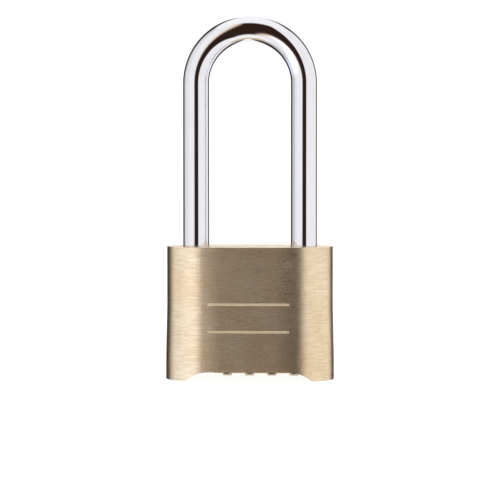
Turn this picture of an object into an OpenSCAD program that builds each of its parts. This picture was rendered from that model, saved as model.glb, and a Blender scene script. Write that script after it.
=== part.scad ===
// Four-dial combination padlock with a long shackle, in millimetres.
// +Z is up, -Y is the front face, and the origin is the middle of the footprint on the base plane.
// The toe, the leg that comes free, is at -X. The heel, the leg that stays in the body, is at +X.

/* [Body] */
// Width of the body at its foot
body_w = 50.8; // [50.4:0.1:54]
// Thickness of the body at its foot
body_t = 23.5; // [23.3:0.1:25]
// Height of the body
body_h = 40; // [39.5:0.1:46]
// How far each side leans in from foot to top
body_lean = 0.35; // [0:0.05:0.6]
// Height where the lean starts
lean_start = 6; // [4:0.5:9]
// Height where the lean ends
lean_end = 22; // [18:0.5:26]
// Bevel on the body's outer edges
edge_bevel = 0.4; // [0.2:0.05:0.7]
// Wall beside the chamber, front and back
side_wall = 2; // [1.8:0.05:2.05]
// Wall beside the chamber at the two round ends
end_wall = 2.2; // [2:0.05:2.3]
// Height of the scoop between the two feet
scoop_h = 2.7; // [1.8:0.1:3]
// Width of the flat top of the scoop
scoop_flat = 24; // [18:0.5:26]
// Radius that runs the scoop down to each foot
scoop_r = 10.4; // [8:0.2:13]

/* [Front trim lines] */
// Length of the two trim lines
line_len = 24.4; // [16:0.2:28]
// Width of a trim line
line_w = 0.7; // [0.4:0.05:1]
// Depth of a trim line
line_depth = 0.2; // [0.1:0.05:0.4]
// Height of the lower line
line_low_z = 14.8; // [12:0.2:16]
// Height of the upper line
line_high_z = 23; // [20:0.2:26]

/* [Shackle] */
// Diameter of the shackle rod
rod_d = 7.9; // [7.5:0.1:8]
// Distance between the centres of the two legs
leg_pitch = 32.5; // [32:0.1:33]
// Clear height between the body and the inside of the bow
clear_h = 61.4; // [40:0.5:90]
// Depth of the toe in the body
toe_depth = 11.5; // [10:0.1:12]
// How far the raised toe stands clear of the body
toe_free = 1; // [0.5:0.1:2]
// Running clearance round a leg
leg_gap = 0.15; // [0.1:0.01:0.2]
// Bevel at the ends of the legs
leg_bevel = 0.8; // [0.4:0.1:1]
// Depth of the latch notch in the toe
notch_depth = 2.2; // [1.6:0.1:2.4]
// Solid length of toe below the latch
toe_hook = 3.9; // [3.4:0.1:4.2]

/* [Heel pin] */
// Diameter of the pin that keeps the heel in
heel_pin_d = 2.6; // [2:0.1:2.8]
// How far the pin reaches into the heel's path
heel_pin_bite = 0.7; // [0.5:0.05:0.9]
// Length of full rod below the neck
collar_h = 3.4; // [2.5:0.1:4]

/* [Dials] */
// Diameter of a dial across its corners
dial_d = 14.6; // [14.2:0.1:14.8]
// Width of a dial
dial_w = 2.7; // [2.4:0.05:2.8]
// Distance from one dial to the next
dial_pitch = 6.7; // [6.6:0.01:6.8]
// How far the dials sit to the right of the middle
dial_shift = 3.3; // [3.1:0.1:3.5]
// Height of the lowest point of a dial
dial_foot = 0.65; // [0.5:0.05:1]
// Radius of the bore that rides on the hub
dial_bore_r = 4; // [3.9:0.02:4.1]
// Depth of the notches at the corners
grip_depth = 0.3; // [0.15:0.05:0.4]

/* [Hubs and spindle] */
// Radius of the spindle
spindle_r = 1.5; // [1.3:0.05:1.6]
// Radius of a hub's flange
flange_r = 4.7; // [4.6:0.02:4.8]
// Thickness of a hub's flange
flange_w = 1.6; // [1.4:0.05:1.7]
// Height of the hub's tooth above its barrel
tooth_h = 0.6; // [0.5:0.05:0.65]
// Width of the hub's tooth
tooth_w = 1.2; // [1:0.05:1.3]
// Width of the gate that the fence drops into
gate_w = 1.6; // [1.5:0.05:1.9]
// Depth of the gate
gate_depth = 1.5; // [1.4:0.05:1.7]
// Travel of the spindle when the code is changed
spindle_travel = 1.5; // [1.45:0.01:1.55]

/* [Bottom plate] */
// Seal that shows past each end of the plate's face
face_end_gap = 1.3; // [1:0.05:1.6]
// Seal that shows beside the plate's face
face_side_gap = 0.7; // [0.5:0.05:0.8]
// Height of the plate's flat face above the base plane
face_z = 2.4; // [2.2:0.05:2.6]
// Total thickness of the plate
plate_t = 2.4; // [2.3:0.05:2.5]
// Thickness of the flange that backs the seal
plate_lip = 0.8; // [0.6:0.05:1]
// Radius of the plate's rolled edge
plate_round = 1; // [0.6:0.05:1.2]
// Height of the raised band round the windows
band_h = 0.75; // [0.5:0.05:0.9]
// Width of the raised band
band_w = 7.6; // [6:0.1:9]
// Radius of the raised reading line along the band's crest
bead_r = 0.35; // [0.2:0.05:0.5]
// Width of a dial window
window_w = 3.1; // [2.9:0.05:3.3]
// Length of a dial window
window_l = 11.5; // [11:0.1:12]
// Thickness of the rubber seal
seal_h = 1; // [0.7:0.05:1.1]

/* [Latch] */
// Width of the latch bar
latch_w = 4.2; // [3.6:0.1:4.6]
// Height of the latch bar
latch_h = 3.6; // [3.2:0.1:3.8]
// Sideways travel of the latch for each millimetre of lift
latch_ratio = 0.4; // [0.38:0.01:0.42]

/* [Fasteners and springs] */
// Diameter of the plate screws
screw_d = 2; // [1.6:0.1:2.1]
// Diameter of the screw heads
screw_head_d = 3.2; // [2.8:0.1:3.4]
// Diameter of the pins that hold the carriage
frame_pin_d = 2; // [1.6:0.1:2.4]
// Diameter of the spring rivets
rivet_d = 1.2; // [1:0.1:1.3]
// Thickness of the fence spring
fence_t = 0.5; // [0.4:0.05:0.55]
// Thickness of the click spring
click_t = 0.4; // [0.3:0.05:0.4]
// Wire diameter of the coil springs
wire_d = 0.36; // [0.3:0.02:0.4]

/* [Hidden] */
$fn = 64;

BRASS = [0.70, 0.57, 0.38];
GOLD_BRASS = [0.80, 0.65, 0.33];
CHROME = [0.86, 0.87, 0.88];
ZINC = [0.62, 0.63, 0.64];
SPRING_STEEL = [0.55, 0.57, 0.60];
RUBBER = [0.05, 0.05, 0.05];

// Clearances
slide_gap = 0.1;      // between parts that slide on each other
running_gap = 0.05;   // round the spindle
press_gap = 0.02;     // round a pressed pin
side_gap = 0.3;       // beside a dial, and between parts that only pass each other
seat_gap = 0.1;       // between parts that are clamped together
cut = 1;              // how far a cutter runs past the surface that it opens
turn = 90;            // quarter turn of the change cam, in degrees

// Body
body_end_x = (body_w - body_t) / 2;
chamber_l = body_w - 2 * end_wall;
chamber_t = body_t - 2 * side_wall;
face_l = chamber_l - 2 * face_end_gap;
face_t = chamber_t - 2 * face_side_gap;
top_r = body_t / 2 - body_lean;

// Dials
digits = 10;
step = 360 / digits;
dial_r = dial_d / 2;
axis_z = dial_foot + dial_r;
function dial_x(k) = dial_shift + (k - 2.5) * dial_pitch;
dial_slot_w = dial_w + 2 * side_gap;
dial_slot_r = dial_r + 0.4;
dial_notch_r = dial_bore_r + tooth_h + slide_gap;

// Hubs
hub_r = dial_bore_r - slide_gap;
hub_left = -dial_w / 2;
flange_left = dial_w / 2 + slide_gap;
hub_right = flange_left + flange_w;
gate_floor_r = flange_r - gate_depth;
spindle_bore_r = spindle_r + running_gap;
ring_w = 0.6;
ring_r = spindle_r + 1;

// Carriage, from the bottom plate up and from left to right
plate_top = face_z + plate_t;
frame_z0 = plate_top + seat_gap;
frame_top = axis_z + dial_r + 0.75;
frame_l = chamber_l - 0.5;
frame_t = chamber_t - 0.5;
frame_half = chamber_l / 2 - 0.8;
shelf_z = frame_top - 3.5;
hub_pocket_r = flange_r + 0.5;
pocket_left = dial_x(1) + hub_left - ring_w - 0.5;
left_cheek = pocket_left - 3.1;
right_cheek = dial_x(4) + hub_right + ring_w + spindle_travel + 0.2;
spring_seat = right_cheek + 1.9;
spring_pocket_r = ring_r;

// Body chamber and bores
ceiling_z = frame_top + 1.2;
rod_r = rod_d / 2;
leg_x = leg_pitch / 2;
bore_r = rod_r + leg_gap;
heel_end = ceiling_z + side_gap;
toe_end = body_h - toe_depth;
toe_floor = toe_end - side_gap;
lift = toe_depth + toe_free;
bow_z = body_h + clear_h - (leg_x - rod_r);

// Heel pin: the neck runs under it over the whole lift
heel_pin_r = heel_pin_d / 2;
heel_pin_x = leg_x - rod_r + heel_pin_bite - heel_pin_r;
neck_r = rod_r - heel_pin_bite - leg_gap;
neck_z0 = heel_end + collar_h;
neck_h = heel_pin_d + 2 * leg_gap + 0.2;
heel_pin_z = neck_z0 + leg_gap + heel_pin_r + lift;

// Latch
latch_z0 = toe_end + toe_hook;
latch_z1 = latch_z0 + latch_h;
latch_travel = latch_ratio * lift;
latch_gap = 0.2;
toe_inner_x = -leg_x + rod_r;
latch_tip_x = toe_inner_x - notch_depth;
slot_w = latch_w + 2 * slide_gap;
slot_left = -leg_x + bore_r + 1.15;
web_left = slot_left + side_gap / 2;
web_w = 5;
latch_right = web_left + web_w + 3.3;
slot_right = heel_pin_x - heel_pin_r - 1.6;
latch_bore_r = latch_h / 2 - 0.55;
latch_bore_l = 6;

// Fence spring, which lies on the carriage and hangs a finger over each hub
fence_z = frame_top + running_gap;
finger_x0 = flange_left + flange_w / 2;
finger_w = 1.2;
finger_tip_z = axis_z + flange_r + side_gap;
fence_drop = 1.2;
fence_y0 = -0.9;
fence_y1 = frame_t / 2 - 1.1;
hump_left = web_left + web_w - 0.4;
hump_ramp = 2;
hump_top = 1.4;
relief_z = frame_top - fence_drop - 0.2;
relief_y = 6;

// Click spring, on the front of the carriage
click_y = frame_t / 2 - 0.3;
click_x0 = left_cheek + 1.2;
click_x1 = dial_x(4) + 3;
click_z0 = frame_z0 + 0.4;
click_z1 = axis_z + 5.2;
click_tip_y = dial_r - grip_depth + 0.25;
click_w = 2;
click_half = 3;
click_bend = 0.25;

// Change cam, under the toe's bore
cam_r = 2.2;
cam_shaft_r = 2;
cam_gap = 0.15;
cam_z0 = plate_top + 0.8;
cam_h = 4.8;
cam_pivot_r = 1;
cam_pivot_l = 1;
cam_points = 72;
spindle_tip_x = -leg_x + cam_r + cam_gap;
spindle_end_x = chamber_l / 2 - spindle_travel - side_gap;

// Fasteners
screw_places = [
    [left_cheek + 1.7, 1], [left_cheek + 1.7, -1],
    [dial_x(4) + dial_w / 2 + 2.1, 1], [dial_x(4) + dial_w / 2 + 2.1, -1]
];
screw_y = 6.6;
screw_head_h = 1.2;
screw_tip_z = face_z + 0.9;
frame_pin_z = shelf_z + 1.75;
frame_pin_in = frame_half - 2;
frame_pin_out = body_end_x + side_at(frame_pin_z) - 0.04;
rivet_l = 1.6;
fence_rivet_x = [dial_x(1) + 3.4, dial_x(4)];
fence_rivet_y = fence_y1 - 1.2;
click_rivet_x = [click_x0 + 0.9, click_x1 - 0.8];
click_rivet_z = axis_z + 3.6;

// Half the body's thickness at height z, which leans in between lean_start and lean_end
function side_at(z) = body_t / 2
    - body_lean * max(0, min(1, (z - lean_start) / (lean_end - lean_start)));

// ---------- shared shapes ----------

// A block with two round ends, standing on z = 0
module stadium(l, t, h) {
    for (side = [-1, 1])
        translate([side * (l - t) / 2, 0, 0]) cylinder(d = t, h = h);
    translate([-(l - t) / 2, -t / 2, 0]) cube([l - t, t, h]);
}

// A stadium whose edge follows an outline of [half width, height] points
module turned_stadium(l, t, outline) {
    straight = l - t;
    mirrored = [for (i = [len(outline) - 1:-1:0]) [-outline[i][0], outline[i][1]]];
    for (side = [-1, 1])
        translate([side * straight / 2, 0, 0])
            rotate_extrude() polygon(concat([[0, outline[0][1]]], outline,
                                            [[0, outline[len(outline) - 1][1]]]));
    rotate([90, 0, 90])
        linear_extrude(height = straight, center = true) polygon(concat(outline, mirrored));
}

// A cylinder along X, from x0 to x1, on the spindle's height
module bar_x(r, x0, x1, z = axis_z) {
    translate([x0, 0, z]) rotate([0, 90, 0]) cylinder(r = r, h = x1 - x0);
}

// A box between two corners
module box(low, high) {
    translate(low) cube(high - low);
}

// A slot with round corners, l along Y and w along X, standing on z = 0
module round_window(w, l, r, h) {
    for (x = [-1, 1], y = [-1, 1])
        translate([x * (w / 2 - r), y * (l / 2 - r), 0]) cylinder(r = r, h = h, $fn = 32);
    translate([-w / 2, r - l / 2, 0]) cube([w, l - 2 * r, h]);
    translate([r - w / 2, -l / 2, 0]) cube([w - 2 * r, l, h]);
}

// A coil spring of round wire along X
module coil_x(coil_r, x0, x1, turns, z, per_turn = 12, sides = 6) {
    rings = turns * per_turn;
    length = x1 - x0 - wire_d;
    points = [
        for (i = [0:rings], j = [0:sides - 1])
            let (a = i * 360 / per_turn, b = j * 360 / sides, r = coil_r + wire_d / 2 * cos(b))
            [x0 + wire_d / 2 + length * i / rings + wire_d / 2 * sin(b), r * cos(a), z + r * sin(a)]
    ];
    walls = [
        for (i = [0:rings - 1], j = [0:sides - 1])
            let (n = (j + 1) % sides)
            [i * sides + j, i * sides + n, (i + 1) * sides + n, (i + 1) * sides + j]
    ];
    first = [for (j = [sides - 1:-1:0]) j];
    last = [for (j = [0:sides - 1]) rings * sides + j];
    polyhedron(points, concat(walls, [first, last]), convexity = 10);
}

// ---------- body ----------

module body_block() {
    turned_stadium(body_w, body_t, [
        [body_t / 2 - edge_bevel, 0],
        [body_t / 2, edge_bevel],
        [body_t / 2, lean_start],
        [top_r, lean_end],
        [top_r, body_h - edge_bevel],
        [top_r - edge_bevel, body_h]
    ]);
}

module scoop() {
    for (side = [-1, 1])
        translate([side * scoop_flat / 2, body_t, scoop_h - scoop_r])
            rotate([90, 0, 0]) cylinder(r = scoop_r, h = 2 * body_t, $fn = 96);
    box([-scoop_flat / 2, -body_t, -cut], [scoop_flat / 2, body_t, scoop_h]);
}

module trim_line(z) {
    box([-line_len / 2, -body_t, z - line_w / 2],
        [line_len / 2, line_depth - side_at(z), z + line_w / 2]);
}

// Tall slot between the legs, in which the latch slides, with its window into the toe's bore
module latch_slot() {
    box([slot_left, -slot_w / 2, ceiling_z - cut], [slot_right, slot_w / 2, latch_z1 + latch_gap]);
    box([-leg_x, -slot_w / 2, latch_z0 - latch_gap],
        [slot_left + cut, slot_w / 2, latch_z1 + latch_gap]);
}

module leg_bores() {
    translate([leg_x, 0, ceiling_z - cut]) cylinder(r = bore_r, h = body_h);
    translate([-leg_x, 0, toe_floor]) cylinder(r = bore_r, h = body_h);
    // The change tool goes down the toe's bore and on through this hole to the cam
    translate([-leg_x, 0, ceiling_z - cut]) cylinder(r = cam_shaft_r + slide_gap, h = body_h / 2 - cut);
}

module body() {
    color(BRASS) difference() {
        body_block();
        scoop();
        translate([0, 0, -cut]) stadium(chamber_l, chamber_t, ceiling_z + cut);
        leg_bores();
        latch_slot();
        trim_line(line_low_z);
        trim_line(line_high_z);
        heel_pin_shape(heel_pin_r + press_gap, body_t);
        for (side = [-1, 1]) frame_pin_shape(side, frame_pin_d / 2 + press_gap, body_w);
    }
}

module heel_pin_shape(r, half) {
    translate([heel_pin_x, half, heel_pin_z]) rotate([90, 0, 0]) cylinder(r = r, h = 2 * half);
}

module heel_pin() {
    color(BRASS) heel_pin_shape(heel_pin_r, top_r);
}

// One of the pins through the body's round ends into the carriage, out to x = far
module frame_pin_shape(side, r, far) {
    translate([side * frame_pin_in, 0, frame_pin_z])
        rotate([0, side * 90, 0]) cylinder(r = r, h = far - frame_pin_in, $fn = 32);
}

module frame_pins() {
    color(BRASS) for (side = [-1, 1]) frame_pin_shape(side, frame_pin_d / 2, frame_pin_out);
}

// ---------- shackle ----------

module leg(end_z) {
    rotate_extrude() polygon([
        [0, end_z], [rod_r - leg_bevel, end_z], [rod_r, end_z + leg_bevel], [rod_r, bow_z], [0, bow_z]
    ]);
}

// Notch in the toe: level above the latch, and a long ramp below that pushes the latch back
module toe_notch() {
    floor_x = latch_tip_x - latch_gap / 2;
    ramp = (toe_inner_x - floor_x) / latch_ratio;
    top = latch_z1 + latch_gap;
    foot = latch_z0 - latch_gap;
    rotate([90, 0, 0]) linear_extrude(height = 2 * rod_d, center = true) polygon([
        [floor_x, foot], [toe_inner_x, foot - ramp], [toe_inner_x + cut, foot - ramp],
        [toe_inner_x + cut, top + notch_depth + cut], [toe_inner_x, top + notch_depth], [floor_x, top]
    ]);
}

// The heel's neck goes all round at the foot, and on up as a flat for the pin
module heel_neck() {
    flat_x = heel_pin_x + heel_pin_r + leg_gap;
    difference() {
        translate([leg_x, 0, neck_z0]) cylinder(r = rod_d, h = neck_h);
        translate([leg_x, 0, neck_z0 - cut]) cylinder(r = neck_r, h = neck_h + 2 * cut);
    }
    box([0, -rod_d, neck_z0], [flat_x, rod_d, heel_pin_z + heel_pin_r + leg_gap]);
}

module shackle() {
    color(CHROME) difference() {
        union() {
            translate([-leg_x, 0, 0]) leg(toe_end);
            translate([leg_x, 0, 0]) leg(heel_end);
            translate([0, 0, bow_z]) rotate([90, 0, 0])
                rotate_extrude(angle = 180) translate([leg_x, 0]) circle(r = rod_r);
        }
        toe_notch();
        heel_neck();
    }
}

// ---------- bottom plate ----------

module plate_face() {
    bend = [for (a = [0:15:90]) [
        face_t / 2 - plate_round * (1 - sin(a)), face_z + plate_round * (1 - cos(a))
    ]];
    turned_stadium(face_l, face_t, concat(bend, [[face_t / 2, plate_top - plate_lip / 2]]));
}

// Low ridge that the windows are cut through: two flats that meet under a raised reading line
band_x0 = dial_x(1) - 4.3;
band_x1 = dial_x(4) + 4.5;
module window_band() {
    crest_z = face_z - band_h;
    intersection() {
        translate([band_x0, 0, 0]) rotate([90, 0, 90]) linear_extrude(height = band_x1 - band_x0) polygon([
            [-band_w / 2, face_z], [0, crest_z], [band_w / 2, face_z],
            [band_w / 2, face_z + plate_t / 4], [-band_w / 2, face_z + plate_t / 4]
        ]);
        translate([(band_x0 + band_x1) / 2, 0, crest_z - cut])
            stadium(band_x1 - band_x0, band_w, band_h + 2 * cut);
    }
    bar_x(bead_r, band_x0 + bead_r, band_x1 - bead_r, crest_z + bead_r / 3);
}

module plate_screw_holes(r, z0, z1) {
    for (p = screw_places)
        translate([p[0], p[1] * screw_y, z0]) cylinder(r = r, h = z1 - z0, $fn = 32);
}

module bottom_plate() {
    color(GOLD_BRASS) difference() {
        union() {
            plate_face();
            window_band();
            translate([0, 0, plate_top - plate_lip]) stadium(frame_l, frame_t, plate_lip);
        }
        // Hollow for the hubs
        bar_x(flange_r + side_gap, pocket_left, right_cheek);
        // Windows, which widen inwards to the round of the dials
        for (k = [1:4]) {
            translate([dial_x(k), 0, 0]) round_window(window_w, window_l, 0.7, body_h);
            bar_x(dial_slot_r, dial_x(k) - window_w / 2, dial_x(k) + window_w / 2);
        }
        translate([-leg_x, 0, plate_top - cam_pivot_l - slide_gap])
            cylinder(r = cam_pivot_r + running_gap, h = body_h, $fn = 32);
        plate_screw_holes(screw_d / 2 + press_gap, screw_tip_z - seat_gap, body_h);
    }
}

module plate_seal() {
    top = plate_top - plate_lip - running_gap;
    color(RUBBER) difference() {
        translate([0, 0, top - seal_h]) stadium(chamber_l - seat_gap, chamber_t - seat_gap, seal_h);
        translate([0, 0, top - seal_h - cut])
            stadium(face_l + seat_gap, face_t + seat_gap, seal_h + 2 * cut);
    }
}

module plate_screws() {
    color(SPRING_STEEL) difference() {
        union() {
            plate_screw_holes(screw_d / 2, screw_tip_z, frame_top - screw_head_h + running_gap);
            plate_screw_holes(screw_head_d / 2, frame_top - screw_head_h, frame_top - running_gap);
        }
        for (p = screw_places)
            translate([p[0], p[1] * screw_y, frame_top])
                cube([screw_head_d, 0.5, 1], center = true);
    }
}

// ---------- dial carriage ----------

module carriage_block() {
    translate([0, 0, frame_z0]) intersection() {
        stadium(frame_l, frame_t, frame_top - frame_z0);
        box([-frame_half, -frame_t, 0], [frame_half, frame_t, frame_top]);
    }
}

module dial_spaces() {
    bar_x(hub_pocket_r, pocket_left, right_cheek);
    box([pocket_left, -hub_pocket_r, 0], [right_cheek, hub_pocket_r, axis_z]);
    for (k = [1:4]) {
        x0 = dial_x(k) - dial_slot_w / 2;
        x1 = dial_x(k) + dial_slot_w / 2;
        bar_x(dial_slot_r, x0, x1);
        box([x0, -dial_slot_r, 0], [x1, dial_slot_r, axis_z]);
    }
}

module fence_relief() {
    box([dial_x(1), -2, relief_z], [right_cheek, relief_y, frame_top + cut]);
    for (k = [1:4])
        box([dial_x(k) + finger_x0 - side_gap, fence_y0, axis_z],
            [dial_x(k) + finger_x0 + finger_w + side_gap, -fence_y0, frame_top + cut]);
}

module click_relief() {
    inner_y = click_y - click_t - running_gap;
    box([click_x0 - side_gap, -frame_t, frame_z0 - cut], [click_x1 + side_gap, -inner_y, click_z1 + side_gap]);
    for (k = [1:4])
        box([dial_x(k) - dial_slot_w / 2, -frame_t, axis_z - 3.4],
            [dial_x(k) + dial_slot_w / 2, -dial_r, axis_z + 3.4]);
}

module dial_carriage() {
    color(ZINC) difference() {
        carriage_block();
        dial_spaces();
        // Bay for the change cam
        box([-body_w, -frame_t, 0], [left_cheek, frame_t, shelf_z]);
        translate([-leg_x, 0, 0]) cylinder(r = cam_shaft_r + slide_gap, h = body_h);
        bar_x(spindle_r + slide_gap, left_cheek - cut, frame_half + cut);
        bar_x(spring_pocket_r, right_cheek - cut, spring_seat);
        plate_screw_holes(screw_d / 2 + slide_gap, 0, body_h);
        plate_screw_holes(screw_head_d / 2 + slide_gap, frame_top - screw_head_h - running_gap, body_h);
        for (side = [-1, 1]) frame_pin_shape(side, frame_pin_d / 2 + press_gap, body_w);
        fence_relief();
        click_relief();
        fence_rivets(press_gap, frame_top + cut);
        click_rivets(press_gap, frame_t);
    }
}

// ---------- springs and rivets of the carriage ----------

module fence_rivets(gap, top) {
    for (x = fence_rivet_x)
        translate([x, fence_rivet_y, fence_z + fence_t - rivet_l - gap])
            cylinder(r = rivet_d / 2 + gap, h = top - (fence_z + fence_t - rivet_l), $fn = 32);
}

module click_rivets(gap, far) {
    for (x = click_rivet_x)
        translate([x, -click_y + rivet_l + gap, click_rivet_z]) rotate([90, 0, 0])
            cylinder(r = rivet_d / 2 + gap, h = far - click_y + rivet_l, $fn = 32);
}

module spring_rivets() {
    color(SPRING_STEEL) {
        fence_rivets(0, fence_z + fence_t);
        click_rivets(0, click_y);
    }
}

// Fingers of the fence spring. The first hangs from the hump, where the latch bears down on it
module fence_fingers() {
    for (k = [1:4]) {
        top = fence_z + fence_t / 2 + (k == 1 ? fence_drop : 0);
        box([dial_x(k) + finger_x0, -finger_w / 2, finger_tip_z],
            [dial_x(k) + finger_x0 + finger_w, finger_w / 2, top]);
    }
}

// Side view of the hump that the latch's foot presses down, inset by the sheet for its hollow
module hump(inset) {
    rotate([90, 0, 0]) linear_extrude(height = 4 * latch_w, center = true) polygon([
        [hump_left + inset, -cut], [hump_left + inset, 0],
        [hump_left + hump_ramp + inset / 2, fence_drop],
        [hump_left + hump_ramp + hump_top - inset / 2, fence_drop],
        [hump_left + 2 * hump_ramp + hump_top - inset, 0],
        [hump_left + 2 * hump_ramp + hump_top - inset, -cut]
    ]);
}

module fence_spring() {
    x1 = dial_x(4) + finger_x0 + finger_w;
    low = [web_left, -latch_w / 2, fence_z];
    high = [x1, latch_w / 2, body_h];
    color(SPRING_STEEL) difference() {
        union() {
            box([hump_left, fence_y0, fence_z], [x1, fence_y1, fence_z + fence_t]);
            // Track that the latch's foot slides on
            box(low, [hump_left + cut, latch_w / 2, fence_z + fence_t]);
            difference() {
                intersection() {
                    translate([0, 0, fence_z + fence_t]) hump(0);
                    box(low, high);
                }
                translate([0, 0, fence_z]) hump(fence_t);
            }
            fence_fingers();
        }
        fence_rivets(press_gap, body_h);
    }
}

module click_spring() {
    inner_y = click_y - click_t;
    hollow = click_half - click_t / 2;
    color(SPRING_STEEL) difference() {
        union() {
            box([click_x0, -click_y, click_z0], [click_x1, -inner_y, click_z1]);
            for (k = [1:4])
                translate([dial_x(k) - click_w / 2, 0, axis_z]) rotate([90, 0, 90])
                    linear_extrude(height = click_w) polygon([
                        [-click_y, -click_half], [-inner_y, -click_half], [-click_tip_y, -click_bend], [-click_tip_y, click_bend],
                        [-inner_y, click_half], [-click_y, click_half], [-click_tip_y - click_t, click_bend],
                        [-click_tip_y - click_t, -click_bend]
                    ]);
        }
        // Windows either side of each tongue, and the hollow behind its bend
        for (k = [1:4], side = [-1, 1])
            translate([dial_x(k) + side * (click_w / 2 + click_bend), -click_y, axis_z])
                cube([2 * click_bend, 4 * click_t, 2 * click_half - click_t], center = true);
        for (k = [1:4])
            translate([dial_x(k) - click_w / 2, 0, axis_z]) rotate([90, 0, 90])
                linear_extrude(height = click_w) polygon([
                    [-click_y - cut, -hollow], [-click_y, -hollow], [-click_tip_y - click_t, -click_bend],
                    [-click_tip_y - click_t, click_bend], [-click_y, hollow], [-click_y - cut, hollow]
                ]);
        click_rivets(press_gap, frame_t);
    }
}

// ---------- latch ----------

module latch_slide() {
    foot_z = fence_z + fence_t + slide_gap;
    web_z = foot_z + fence_drop;
    color(ZINC) difference() {
        translate([0, latch_w / 2, 0]) rotate([90, 0, 0]) linear_extrude(height = latch_w) polygon([
            [latch_tip_x, latch_z0], [web_left, latch_z0], [web_left, foot_z],
            [web_left + 1.8, foot_z], [web_left + 1.8 + hump_ramp, web_z], [web_left + web_w, web_z],
            [web_left + web_w, latch_z0], [latch_right, latch_z0], [latch_right, latch_z1],
            [latch_tip_x + 1, latch_z1], [latch_tip_x, latch_z1 - 1]
        ]);
        bar_x(latch_bore_r, latch_right - latch_bore_l, latch_right + cut, latch_z0 + latch_h / 2);
    }
}

module latch_spring() {
    color(SPRING_STEEL)
        coil_x(latch_bore_r - slide_gap - wire_d / 2, latch_right - latch_bore_l + slide_gap,
               slot_right - slide_gap, 12, latch_z0 + latch_h / 2);
}

// ---------- spindle ----------

module spindle() {
    color(SPRING_STEEL) {
        translate([spindle_tip_x + spindle_r, 0, axis_z]) sphere(r = spindle_r);
        bar_x(spindle_r, spindle_tip_x + spindle_r, spindle_end_x);
    }
}

module ring_at(x) {
    difference() {
        bar_x(ring_r, x, x + ring_w);
        bar_x(spindle_r + press_gap, x - cut, x + ring_w + cut);
    }
}

module spindle_rings() {
    color(SPRING_STEEL) {
        ring_at(dial_x(1) + hub_left - running_gap - ring_w);
        ring_at(dial_x(4) + hub_right + running_gap);
    }
}

module hub_spacers() {
    color(GOLD_BRASS) for (k = [1:3]) {
        x0 = dial_x(k) + hub_right + running_gap;
        x1 = dial_x(k + 1) + hub_left - running_gap;
        difference() {
            bar_x(spindle_r + 0.9, x0, x1);
            bar_x(spindle_r + press_gap, x0 - cut, x1 + cut);
        }
    }
}

module spindle_spring() {
    color(SPRING_STEEL)
        coil_x(spindle_r + 0.2 + wire_d / 2, dial_x(4) + hub_right + running_gap + ring_w + running_gap,
               spring_seat - running_gap, 4, axis_z);
}

// ---------- change cam ----------

// Cam radius at angle a: it grows by the spindle's travel over a quarter turn, holds, and falls back
function cam_rise(a) =
    a <= turn ? a / turn :
    a <= turn + 20 ? 1 :
    a <= turn + 110 ? (turn + 110 - a) / 90 : 0;

module change_cam() {
    color(GOLD_BRASS) translate([-leg_x, 0, 0]) difference() {
        union() {
            translate([0, 0, cam_z0]) linear_extrude(height = cam_h) polygon([
                for (i = [0:cam_points - 1])
                    let (a = i * 360 / cam_points, r = cam_r + spindle_travel * cam_rise(a))
                    [r * cos(-a), r * sin(-a)]
            ]);
            translate([0, 0, plate_top + slide_gap])
                cylinder(r = cam_shaft_r - slide_gap, h = frame_top + 0.6 - plate_top - slide_gap);
            translate([0, 0, plate_top - cam_pivot_l])
                cylinder(r = cam_pivot_r, h = cam_pivot_l + cut, $fn = 32);
            translate([0, 0, cam_z0 + cam_h])
                cylinder(r = cam_shaft_r, h = frame_top + 0.6 - cam_z0 - cam_h);
        }
        // Slot for the change tool
        translate([0, 0, frame_top + 0.6]) cube([2 * cam_shaft_r + cut, 0.8, 2.4], center = true);
    }
}

// ---------- dials and hubs ----------

module dial(k) {
    x = dial_x(k);
    color(GOLD_BRASS) difference() {
        translate([x - dial_w / 2, 0, axis_z]) rotate([0, 90, 0]) rotate([0, 0, step / 2])
            cylinder(r = dial_r, h = dial_w, $fn = digits);
        bar_x(dial_bore_r, x - dial_w, x + dial_w);
        for (i = [0:digits - 1]) translate([x, 0, axis_z]) rotate([i * step, 0, 0]) {
            // Notch inside, for the hub's tooth
            box([-slide_gap, 0, -tooth_w / 2 - slide_gap], [dial_w, dial_notch_r, tooth_w / 2 + slide_gap]);
            // Grip notch outside
            translate([0, dial_r, 0]) rotate([45, 0, 0])
                cube([2 * dial_w, grip_depth * sqrt(2), grip_depth * sqrt(2)], center = true);
        }
    }
}

module hub(k) {
    x = dial_x(k);
    color(ZINC) difference() {
        union() {
            bar_x(hub_r, x + hub_left, x + flange_left);
            bar_x(flange_r, x + flange_left, x + hub_right);
            translate([x, 0, axis_z])
                box([slide_gap, 0, -tooth_w / 2], [flange_left + slide_gap, hub_r + tooth_h, tooth_w / 2]);
        }
        bar_x(spindle_bore_r, x - dial_pitch, x + dial_pitch);
        // Gate
        box([x + flange_left, -gate_w / 2, axis_z + gate_floor_r], [x + hub_right + cut, gate_w / 2, body_h]);
    }
}

body();
heel_pin();
frame_pins();
shackle();
bottom_plate();
plate_seal();
plate_screws();
dial_carriage();
fence_spring();
click_spring();
spring_rivets();
latch_slide();
latch_spring();
spindle();
spindle_rings();
hub_spacers();
spindle_spring();
change_cam();
dial(1);  // dial_1
dial(2);  // dial_2
dial(3);  // dial_3
dial(4);  // dial_4
hub(1);  // hub_1
hub(2);  // hub_2
hub(3);  // hub_3
hub(4);  // hub_4
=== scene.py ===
"""Combination padlock.

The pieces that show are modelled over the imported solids, with their finishes and the studio.
"""

import math
from contextlib import contextmanager

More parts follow.
